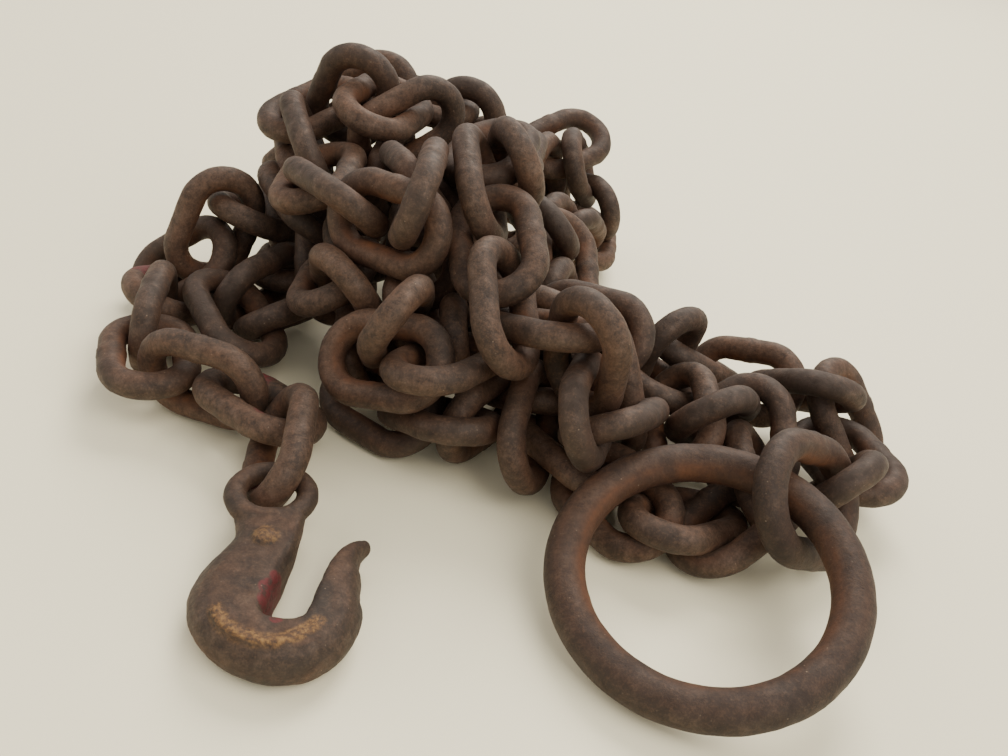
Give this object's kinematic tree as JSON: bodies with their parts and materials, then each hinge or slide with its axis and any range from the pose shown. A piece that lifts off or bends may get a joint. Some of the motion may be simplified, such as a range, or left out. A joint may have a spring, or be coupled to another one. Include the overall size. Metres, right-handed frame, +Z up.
{
  "type": "heap of steel chain",
  "caption": "Length of rusty welded-link steel chain heaped loosely, a forged grab hook lying free at one end and a large round ring joined by a bigger link at the other.",
  "frame": {"origin": "middle of the heap's footprint, on the ground it lies on", "axes": "+Z up from the ground, +Y from the hook and ring at the front to the back of the heap, +X from the hook's side to the ring's side"},
  "size_m": [0.3024, 0.3166, 0.106],
  "materials": {
    "rusty_chain_steel": "hot-formed welded steel bar with a thin dry coat of brown rust, rubbed darker and smoother where links bear on each other",
    "rusty_ring_steel": "forged steel bar, brown rust worn smooth, with faint lengthwise forging marks",
    "forged_hook_steel": "drop-forged steel, dark scale with an ochre rust band and traces of old red paint in the throat"
  },
  "bodies": {
    "root": {"connecting_link": "rusty_ring_steel", "end_ring": "rusty_ring_steel", "grab_hook": "forged_hook_steel", "link_001": "rusty_chain_steel", "link_002": "rusty_chain_steel", "link_003": "rusty_chain_steel", "link_004": "rusty_chain_steel", "link_005": "rusty_chain_steel", "link_006": "rusty_chain_steel", "link_007": "rusty_chain_steel", "link_008": "rusty_chain_steel", "link_012": "rusty_chain_steel", "link_019": "rusty_chain_steel", "link_020": "rusty_chain_steel", "link_021": "rusty_chain_steel", "link_032": "rusty_chain_steel", "link_038": "rusty_chain_steel", "link_046": "rusty_chain_steel", "link_047": "rusty_chain_steel", "link_048": "rusty_chain_steel", "link_049": "rusty_chain_steel", "link_050": "rusty_chain_steel", "link_051": "rusty_chain_steel", "link_052": "rusty_chain_steel", "link_056": "rusty_chain_steel", "link_059": "rusty_chain_steel", "link_060": "rusty_chain_steel", "link_061": "rusty_chain_steel", "link_066": "rusty_chain_steel", "link_067": "rusty_chain_steel", "link_068": "rusty_chain_steel", "link_069": "rusty_chain_steel", "link_070": "rusty_chain_steel", "link_071": "rusty_chain_steel", "link_072": "rusty_chain_steel", "link_073": "rusty_chain_steel", "link_074": "rusty_chain_steel", "link_080": "rusty_chain_steel", "link_081": "rusty_chain_steel", "link_092": "rusty_chain_steel", "link_093": "rusty_chain_steel", "link_094": "rusty_chain_steel", "link_095": "rusty_chain_steel", "link_096": "rusty_chain_steel", "link_097": "rusty_chain_steel", "link_098": "rusty_chain_steel", "link_099": "rusty_chain_steel", "link_100": "rusty_chain_steel", "run_back_core": "rusty_chain_steel", "run_back_right": "rusty_chain_steel", "run_front_inner": "rusty_chain_steel", "run_front_low": "rusty_chain_steel", "run_front_right": "rusty_chain_steel", "run_front_upper": "rusty_chain_steel", "run_left_inner": "rusty_chain_steel", "run_left_low": "rusty_chain_steel", "run_left_rise": "rusty_chain_steel", "run_middle_core": "rusty_chain_steel", "run_under_ring": "rusty_chain_steel"}
  },
  "joints": []
}
